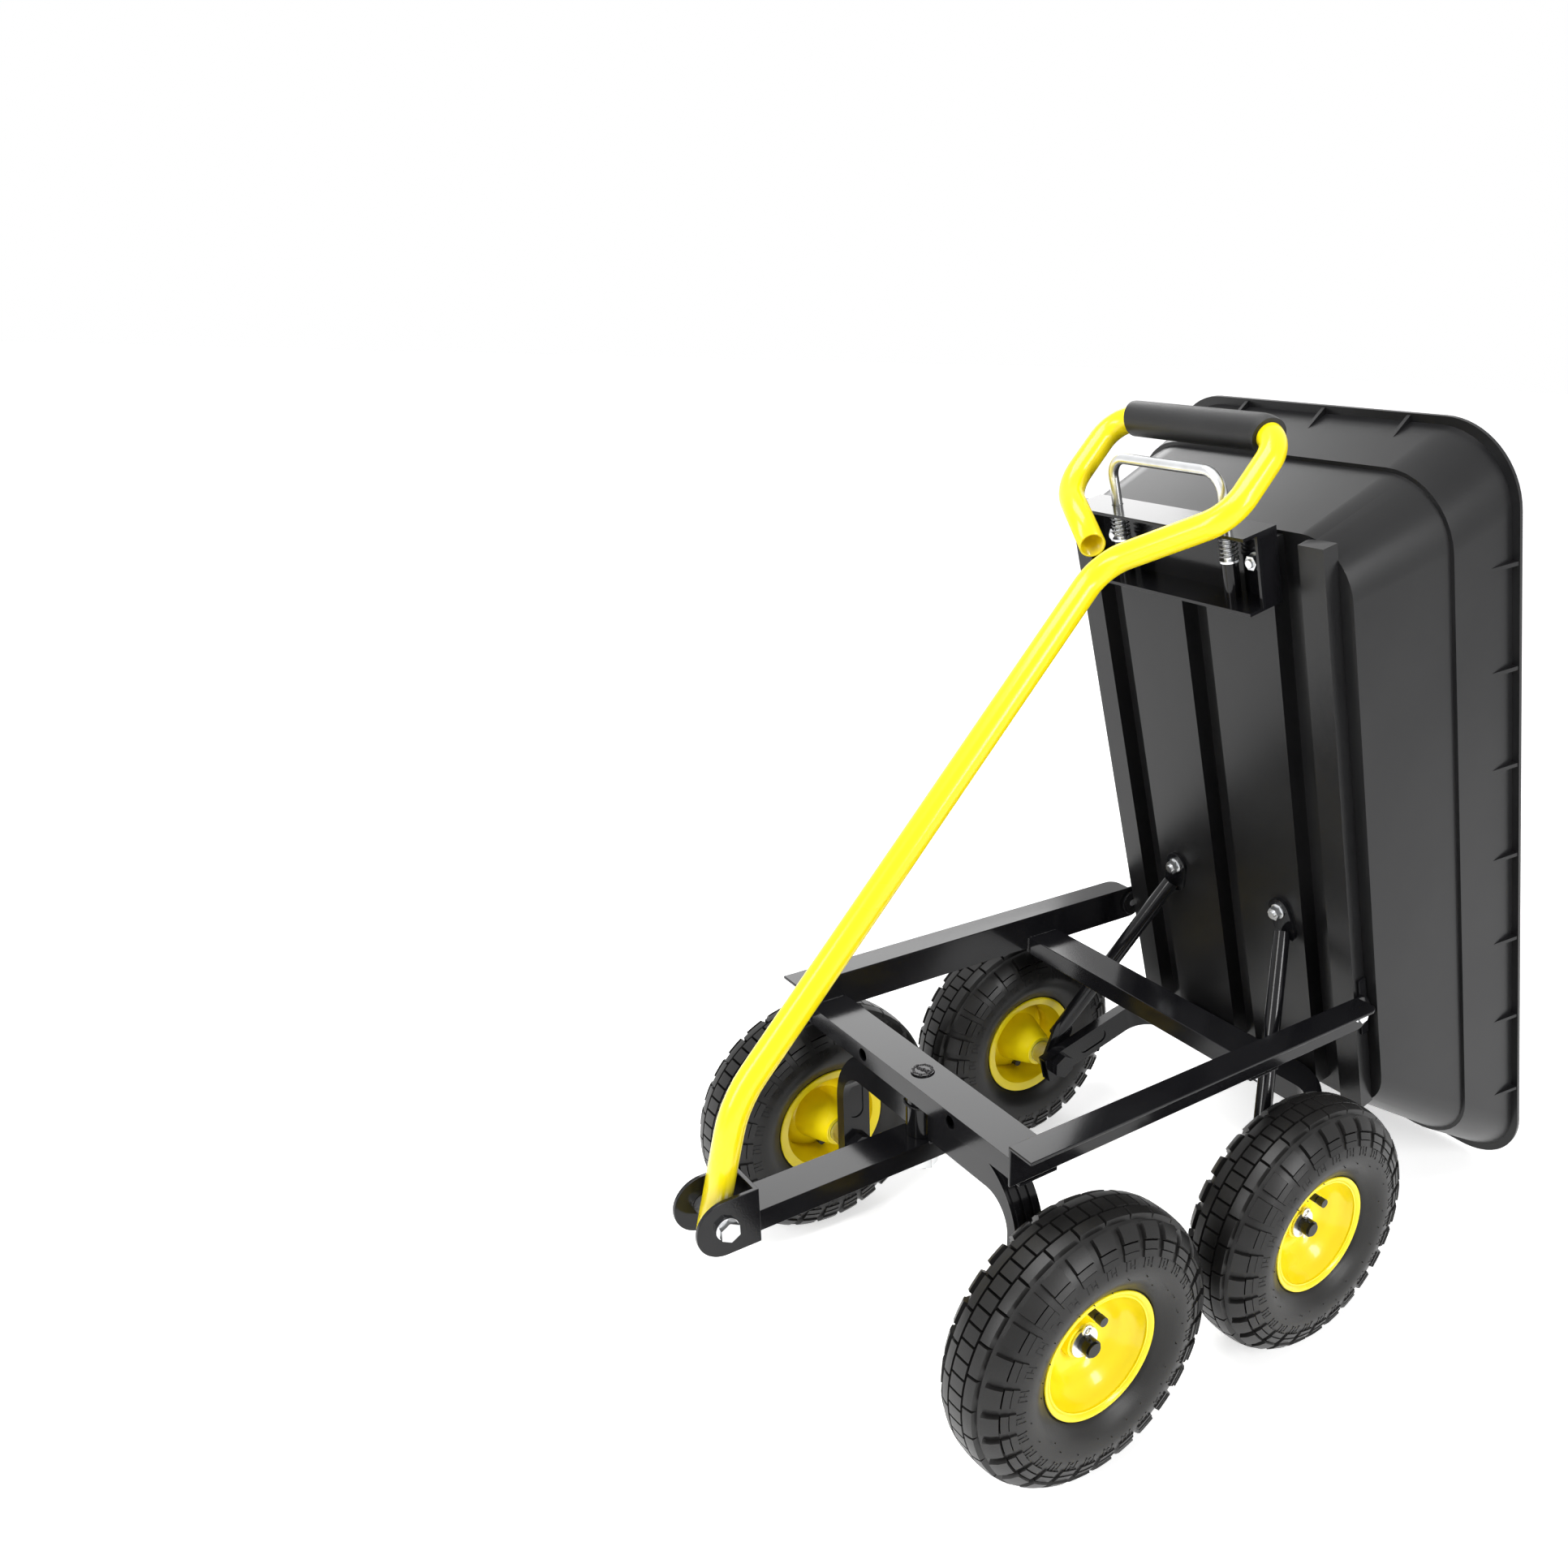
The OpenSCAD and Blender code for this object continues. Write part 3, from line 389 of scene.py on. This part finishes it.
def raise_group(bm, faces, inset, height):
    bmesh.ops.inset_region(
        bm, faces=faces, thickness=inset * MM, depth=0, use_even_offset=True, use_boundary=True
    )
    limit = TYRE_HALF_WIDTH * MM
    for v in {v for f in faces for v in f.verts}:
        outward = Vector((0, v.co.y, v.co.z)).normalized()
        lean = max(0.0, min(1.0, (abs(v.co.x) / MM - 20) / 22)) * math.pi / 2
        side = Vector((math.copysign(math.sin(lean), v.co.x), 0, 0))
        v.co += (outward * math.cos(lean) + side) * height * MM
        v.co.x = max(-limit, min(limit, v.co.x))


# %%
# Each row: name, from and to across the width in mm, first step, steps per block, steps raised,
# inset and height in mm
tread_rows = [
    ("middle", -9, 9, 0, 2, 2, 1.1, 4.1),
    ("left", 9, 21, 1, 4, 4, 1.3, 4.2),
    ("right", -21, -9, 3, 4, 4, 1.3, 4.2),
    ("left lug", 24.5, 34.6, 2, 4, 3, 1.0, 4.2),
    ("right lug", -34.6, -24.5, 0, 4, 3, 1.0, 4.2),
    ("left bar", 34.6, 38, 2, 4, 3, 0.5, 2.4),
    ("right bar", -38, -34.6, 0, 4, 3, 0.5, 2.4),
    ("left foot", 38, 40.4, 2, 4, 3, 0.4, 1.6),
    ("right foot", -40.4, -38, 0, 4, 3, 0.4, 1.6),
]


def tyre_mesh():
    bm = bmesh.new()
    revolve(bm, tyre_outline(), STEPS)
    groups = {}
    for face in bm.faces:
        middle = face.calc_center_median()
        radius = math.hypot(middle.y, middle.z) / MM
        if radius < 96 or radius < 112 and abs(middle.x) / MM < 32:
            continue
        step = int((math.atan2(middle.y, middle.z) % math.tau) / math.tau * STEPS)
        for name, low, high, first, size, kept, inset, height in tread_rows:
            if low < middle.x / MM < high and (step - first) % size < kept:
                key = (name, ((step - first) % STEPS) // size, inset, height)
                groups.setdefault(key, []).append(face)
    for (_, _, inset, height), faces in groups.items():
        raise_group(bm, faces, inset, height)
    return bm, len(groups)


bm, block_count = tyre_mesh()
tyre_source = bpy.data.meshes.new("tyre source")
bm.to_mesh(tyre_source)
bm.free()
print("tread blocks on a tyre:", block_count)

# %%
wheels = {}
for end in ("front", "rear"):
    for side in ("left", "right"):
        low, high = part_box(f"{end}_{side}_tyre")
        middle = (Vector(low) + Vector(high)) / 2
        out = 1 if side == "left" else -1
        wheels[f"{end}_{side}"] = Matrix.Translation(middle) @ Matrix.Diagonal((out, 1, 1, 1))


print("wheel places:", len(wheels))


# %%
NUB_PLACE = 42.4
WALL_PLACE, WALL_RADIUS, WALL_LEAN = 41.1, 92.6, 13
BAR_DEPTH = 1.6
# Each bar of a ladder in mm: offset along the tread, offset toward the crown, length along the
# tread, length toward the crown
ladder_bars = [
    (-4.6, 0, 1.3, 9.4), (0, 0.6, 1.3, 8.2), (4.6, 0, 1.3, 9.4),
    (-2.3, 2.6, 4.6, 1.1), (2.3, -1.6, 4.6, 1.1),
]


def add_nubs(bm, count, radius_low, radius_high):
    upright = Matrix.Rotation(math.pi / 2, 4, "Y")
    for i in range(count):
        turn = math.tau * (i + random.random() * 0.5) / count
        reach = random.uniform(radius_low, radius_high) * MM
        wall = Matrix.Rotation(turn, 4, "X") @ Matrix.Translation((NUB_PLACE * MM, 0, reach))
        bmesh.ops.create_cone(
            bm, cap_ends=True, segments=6, radius1=0.6 * MM, radius2=0.4 * MM, depth=1.2 * MM,
            matrix=wall @ upright
        )


def add_ladders(bm, side, first_step):
    """Raised bars below each shoulder lug, on the side wall."""
    lean = Matrix.Rotation(math.radians(-WALL_LEAN * side), 4, "Y")
    wall = Matrix.Translation((WALL_PLACE * side * MM, 0, WALL_RADIUS * MM)) @ lean
    for block in range(BLOCKS):
        turn = Matrix.Rotation(-math.tau * (block * PITCH_STEPS + first_step) / STEPS, 4, "X")
        for along, outward, long, tall in ladder_bars:
            size = Matrix.Diagonal((BAR_DEPTH * MM, long * MM, tall * MM, 1))
            shift = Matrix.Translation((0, along * MM, outward * MM))
            bmesh.ops.create_cube(bm, size=1, matrix=turn @ wall @ shift @ size)


# %%
random.seed(4)
for name, place in wheels.items():
    bm = bmesh.new()
    bm.from_mesh(tyre_source)
    add_nubs(bm, 26, 72, 84)
    add_ladders(bm, 1, 3.5)
    add_ladders(bm, -1, 1.5)
    bmesh.ops.transform(bm, matrix=place, verts=bm.verts)
    piece_name = f"{name}_treaded_tyre"
    finish_piece(piece_name, bm, "tyre_rubber", f"{name}_wheel", [f"{name}_tyre"], crease=32)
bpy.data.meshes.remove(tyre_source)
print("tyres:", len(wheels))

# %% [markdown]
# ## Pressed rims
# A rim is pressed from sheet: a rolled flange, a seat for the tyre's bead and a deep dish down to
# the hub. It could be a thin sheet that is thickened later. One closed section spun round the axle
# draws the flange, the dish and the hub at once, with the soft curves of a pressing. The valve stands
# through the dish and hides its own hole, so none is cut.

# %%
rim_outline = [
    (29.6, 60), (30.6, 59.6), (31, 58.6), (30.4, 56.6), (28.6, 54.4), (25.4, 52.4), (21.4, 50.6),
    (17.4, 48.2), (13.6, 45), (10.4, 41.4), (7, 38.4), (3.4, 36), (0.4, 33), (-1.6, 29), (-2.6, 25),
    (-2.8, 20.5), (-2.2, 18), (-0.6, 17.1), (5.5, 17), (6.2, 16.7), (6.5, 16), (6.5, 13.05),
    (-49.5, 13.05), (-49.5, 16.5), (-49, 17), (-44.5, 17), (-40.5, 20), (-4.5, 30), (-1, 36),
    (5.5, 43.5), (-11, 43.5), (-19, 50.5), (-28.5, 50.5), (-31, 57.5), (-30.6, 59.6), (-29.6, 60),
    (-28.5, 59.4), (-28.5, 53), (-19, 53), (-11, 46), (11, 46), (19, 53), (28.5, 53), (28.5, 59.4),
]
for name, place in wheels.items():
    bm = bmesh.new()
    revolve(bm, rim_outline, 96)
    bmesh.ops.transform(bm, matrix=place, verts=bm.verts)
    piece_name = f"{name}_pressed_rim"
    finish_piece(piece_name, bm, "yellow_paint", f"{name}_wheel", [f"{name}_rim"], crease=42)
print("rims:", len(wheels))

# %% [markdown]
# ## The pull handle
# The handle is one length of tube, bent once above its pivot and then round into a loop whose end
# stays open. It could be swept along a drawn path. A ring drawn along straight runs and spun round
# each bend follows the tube bender's own steps instead. A live Solidify gives the wall, so the open
# end shows that the tube is hollow.

# %%
TUBE_R, TUBE_WALL = 12.5, 2
PIVOT = Vector((0, -438.5226, 219)) * MM
FOOT_ANGLE, SHAFT_ANGLE = 76.3, 47.8
FOOT_LEN, FOOT_BELOW, SHAFT_LEN = 102, 14, 535
LOOP_HALF, LOOP_TOP, LOOP_LOW, LOOP_VERTEX, LOOP_END = 110, 187, 97, 25.4, 27
KNEE_BEND, NECK_BEND, LOW_BEND, TOP_BEND = 110, 50, 45, 30


def upward(degrees):
    return Vector((0, math.cos(math.radians(degrees)), math.sin(math.radians(degrees))))


foot, shaft = upward(FOOT_ANGLE), upward(SHAFT_ANGLE)
loop_normal = X_AXIS.cross(shaft)


# %%
class TubeBender:
    """Draws a ring along straight runs and round bends, and keeps track of where its end is."""

    def __init__(self, bm, start, heading, radius, sides=40):
        self.bm, self.place, self.heading = bm, start.copy(), heading.normalized()
        turn = Vector((0, 0, 1)).rotation_difference(self.heading).to_matrix().to_4x4()
        ring = bmesh.ops.create_circle(
            bm, cap_ends=False, segments=sides, radius=radius,
            matrix=Matrix.Translation(start) @ turn
        )
        self.end = list({e for v in ring["verts"] for e in v.link_edges})

    def run(self, length):
        out = bmesh.ops.extrude_edge_only(self.bm, edges=self.end)["geom"]
        shift = self.heading * length * MM
        verts = [g for g in out if isinstance(g, bmesh.types.BMVert)]
        bmesh.ops.translate(self.bm, vec=shift, verts=verts)
        self.end = [g for g in out if isinstance(g, bmesh.types.BMEdge) and len(g.link_faces) == 1]
        self.place += shift

    def bend(self, radius, degrees, axis):
        angle = math.radians(degrees)
        centre = self.place + axis.cross(self.heading) * radius * MM
        verts = list({v for e in self.end for v in e.verts})
        out = bmesh.ops.spin(
            self.bm, geom=verts + self.end, cent=centre, axis=axis, angle=angle,
            steps=max(4, int(degrees / 5)), use_merge=False
        )["geom_last"]
        self.end = [g for g in out if isinstance(g, bmesh.types.BMEdge)]
        turn = Matrix.Rotation(angle, 3, axis)
        self.place = centre + turn @ (self.place - centre)
        self.heading = (turn @ self.heading).normalized()


def cut_back(radius, degrees):
    """How much of a straight run a bend takes up."""
    return radius * math.tan(math.radians(degrees) / 2)


# %%
def handle_mesh():
    bm = bmesh.new()
    slope = math.degrees(math.atan2(LOOP_LOW - LOOP_VERTEX, LOOP_HALF))
    lean = 90 - slope
    lower_side = math.hypot(LOOP_HALF, LOOP_LOW - LOOP_VERTEX)
    knee_turn = FOOT_ANGLE - SHAFT_ANGLE
    knee, neck = cut_back(KNEE_BEND, knee_turn), cut_back(NECK_BEND, lean)
    low = cut_back(LOW_BEND, lean)
    upright = LOOP_TOP - LOOP_LOW - low - TOP_BEND
    tube = TubeBender(bm, PIVOT - foot * FOOT_BELOW * MM, foot, TUBE_R * MM)
    tube.run(FOOT_BELOW + FOOT_LEN - knee)
    tube.bend(KNEE_BEND, knee_turn, -X_AXIS)
    tube.run(SHAFT_LEN + LOOP_VERTEX - knee - neck)
    tube.bend(NECK_BEND, lean, -loop_normal)
    tube.run(lower_side - neck - low)
    tube.bend(LOW_BEND, lean, loop_normal)
    tube.run(upright)
    tube.bend(TOP_BEND, 90, loop_normal)
    tube.run(2 * (LOOP_HALF - TOP_BEND))
    tube.bend(TOP_BEND, 90, loop_normal)
    tube.run(upright)
    tube.bend(LOW_BEND, lean, loop_normal)
    tube.run(lower_side * (1 - LOOP_END / LOOP_HALF) - low)
    return bm


tube = finish_piece("bent_handle_tube", handle_mesh(), "yellow_paint", "handle", ["handle_tube"])
wall = tube.modifiers.new("tube wall", "SOLIDIFY")
wall.thickness = TUBE_WALL * MM
wall.offset = -1
print("handle reaches", [round(v, 3) for v in tube.dimensions])

# %% [markdown]
# ## The foam grip
# A sleeve of soft foam is pushed over the loop's top bar and follows the tube into the bends at its
# ends. A ring is drawn along the same path as the tube and its ends are rounded over. The foam is
# tight on the tube, so it needs no cloth simulation.

# %%
GRIP_R, GRIP_ROUND = 16.6, 2.6
NEAR_BEND, FAR_BEND = 26, 8
grip_middle = PIVOT + (foot * FOOT_LEN + shaft * (SHAFT_LEN + LOOP_TOP)) * MM
corner = grip_middle + X_AXIS * (LOOP_HALF - TOP_BEND) * MM
centre = corner - shaft * TOP_BEND * MM
back_turn = Matrix.Rotation(-math.radians(NEAR_BEND), 3, loop_normal)
begin = centre + back_turn @ (corner - centre)

bm = bmesh.new()
sleeve = TubeBender(bm, begin, back_turn @ -X_AXIS, GRIP_R * MM)
sleeve.bend(TOP_BEND, NEAR_BEND, loop_normal)
sleeve.run(2 * (LOOP_HALF - TOP_BEND))
sleeve.bend(TOP_BEND, FAR_BEND, loop_normal)
ends = [e for e in bm.edges if len(e.link_faces) == 1]
caps = bmesh.ops.holes_fill(bm, edges=ends, sides=0)["faces"]
rims = [e for f in caps for e in f.edges]
bmesh.ops.bevel(
    bm, geom=rims, offset=GRIP_ROUND * MM, offset_type="OFFSET", segments=4, profile=0.5,
    affect="EDGES", clamp_overlap=True, material=-1
)
grip = finish_piece("foam_grip_sleeve", bm, "foam_grip", "handle", ["handle_grip"])
print("grip middle", [round(v, 4) for v in grip_middle])

# %% [markdown]
# ## The latch springs
# A wound spring on each latch pin pushes the bail back after it is pulled. The wire stays between
# the pin's collar and the bracket, so a pull shortens it. A stiff spring would pass through the
# bracket. This one rides with the latch as a stiff piece, with a mesh of its own.

# %%
bm = bmesh.new()
bm.from_mesh(nodes["latch_springs"].data)
bmesh.ops.remove_doubles(bm, verts=bm.verts, dist=SAME_PLACE)
springs = finish_piece("wound_latch_springs", bm, "zinc_steel", "latch", ["latch_springs"])
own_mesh(springs)

# %% [markdown]
# ## Bolts and small hardware
# Bolts, nuts, washers and the sprung bail are already the right shape as working solids. They only
# need their plating, so they keep their own mesh and take a finish.

# %%
painted = {"kingpin", "front_spindles", "rear_spindles", "latch_guides"}


def hardware_finish(name):
    if name.endswith(("_bushes", "_valve")):
        return "black_nylon"
    return "black_steel" if name in painted else "zinc_steel"


plated = [name for name in nodes if not nodes[name].hide_render]
for name in plated:
    mesh = nodes[name].data
    mesh.materials.clear()
    mesh.materials.append(finishes[hardware_finish(name)])
    mesh.shade_smooth()
    mesh.set_sharp_from_angle(angle=math.radians(35))
print("hardware plated or painted:", len(plated))

# %% [markdown]
# ## A pale studio
# The cart stands on a wide pale floor under large soft lights, as in a catalogue picture. More light
# would make the background white, but would bleach the paint too, so the white is only for what the
# camera sees, and the floor brightens toward it. Long bright panels give the black paint its grey
# streaks, and the one behind lies where the tops of the rails mirror it.


# %%
def seen_rays(tree):
    """1 for what the camera sees, straight on or in a mirror or glass, else 0."""
    rays = tree.nodes.new("ShaderNodeLightPath")
    total = rays.outputs["Is Camera Ray"]
    for name in ("Is Glossy Ray", "Is Transmission Ray"):
        larger = tree.nodes.new("ShaderNodeMath")
        larger.operation = "MAXIMUM"
        tree.links.new(total, larger.inputs[0])
        tree.links.new(rays.outputs[name], larger.inputs[1])
        total = larger.outputs["Value"]
    return total


def map_range(tree, value, **limits):
    node = tree.nodes.new("ShaderNodeMapRange")
    for label, limit in limits.items():
        node.inputs[label.replace("_", " ")].default_value = limit
    tree.links.new(value, node.inputs["Value"])
    return node.outputs["Result"]


def make_floor_finish():
    material = make_finish(
        "pale floor", colour=(0.95, 0.95, 0.95), shade=(0.93, 0.93, 0.93),
        grain=40, rough=(0.6, 0.7), bump=0.02, depth=0.0002
    )
    tree = material.node_tree
    shader = tree.nodes["Principled BSDF"]
    shader.inputs["Emission Color"].default_value = (1, 1, 1, 1)
    away = tree.nodes.new("ShaderNodeVectorMath")
    away.operation = "LENGTH"
    tree.links.new(tree.nodes["Texture Coordinate"].outputs["Object"], away.inputs[0])
    fade = map_range(
        tree, away.outputs["Value"], From_Min=0.8, From_Max=3.0, To_Min=0.58, To_Max=0.74
    )
    glow = tree.nodes.new("ShaderNodeMath")
    glow.operation = "MULTIPLY"
    tree.links.new(seen_rays(tree), glow.inputs[0])
    tree.links.new(fade, glow.inputs[1])
    tree.links.new(glow.outputs["Value"], shader.inputs["Emission Strength"])
    return material


# %%
bm = bmesh.new()
bmesh.ops.create_grid(bm, x_segments=1, y_segments=1, size=30)
floor_mesh = bpy.data.meshes.new("floor")
bm.to_mesh(floor_mesh)
bm.free()
floor_mesh.materials.append(make_floor_finish())
floor = bpy.data.objects.new("floor", floor_mesh)
bpy.context.scene.collection.objects.link(floor)

world = bpy.data.worlds.new("studio")
bpy.context.scene.world = world
world.use_nodes = True
sky_tree = world.node_tree
sky = sky_tree.nodes["Background"]
sky.inputs["Color"].default_value = (1, 1, 1, 1)
sky_level = map_range(sky_tree, seen_rays(sky_tree), To_Min=0.34, To_Max=1.0)
sky_tree.links.new(sky_level, sky.inputs["Strength"])
print("floor and sky ready")


# %%
def add_panel(name, place, target, width, height, power):
    data = bpy.data.lights.new(name, "AREA")
    data.shape = "RECTANGLE"
    data.size, data.size_y, data.energy = width, height, power
    lamp = bpy.data.objects.new(name, data)
    bpy.context.scene.collection.objects.link(lamp)
    lamp.location = place
    lamp.rotation_euler = (Vector(target) - Vector(place)).to_track_quat("-Z", "Y").to_euler()


cart_middle = (0, 0, 0.4)
add_panel("top panel", (-0.1, -0.9, 2.8), cart_middle, width=1.8, height=1.2, power=57)
add_panel("front panel", (0.1, -2.9, 1.6), cart_middle, width=0.8, height=1.8, power=43)
add_panel("side panel", (2.8, 0.2, 1.5), cart_middle, width=0.7, height=1.8, power=58)
add_panel("back panel", (-3.3, 1.6, 2.6), (0, -0.1, 0.3), width=1.8, height=1.5, power=29)
print("panels lit")

# %% [markdown]
# ## The camera
# The viewpoint could be set by eye. Here it is solved from the picture: where the wheels, rails and
# tray edge fall fixes the direction, the distance and the lens. The picture's middle lies off the
# lens axis, so the shift is part of the answer.

# %%
PHOTO_SIDE, FOCAL = 1932, 1650.88
EYE = (0.9147, -0.8264, 0.9276)
azimuth, elevation, roll = (math.radians(v) for v in (48.29, 19.88, 2.58))
flat = math.cos(elevation)
back = Vector((math.sin(azimuth) * flat, -math.cos(azimuth) * flat, math.sin(elevation)))
level_right = Vector((math.cos(azimuth), math.sin(azimuth), 0))
level_up = back.cross(level_right)
right = level_right * math.cos(roll) + level_up * math.sin(roll)
up = level_up * math.cos(roll) - level_right * math.sin(roll)

camera_data = bpy.data.cameras.new("camera")
camera_data.sensor_width = 36
camera_data.lens = camera_data.sensor_width * FOCAL / PHOTO_SIDE
camera_data.shift_x = -0.2092
camera_data.shift_y = 0.0227
camera = bpy.data.objects.new("camera", camera_data)
bpy.context.scene.collection.objects.link(camera)
turned = Matrix((right, up, back)).transposed().to_4x4()
camera.matrix_world = Matrix.Translation(EYE) @ turned
bpy.context.scene.camera = camera
bpy.context.scene.view_settings.view_transform = "Standard"
print("camera lens", round(camera_data.lens, 2))
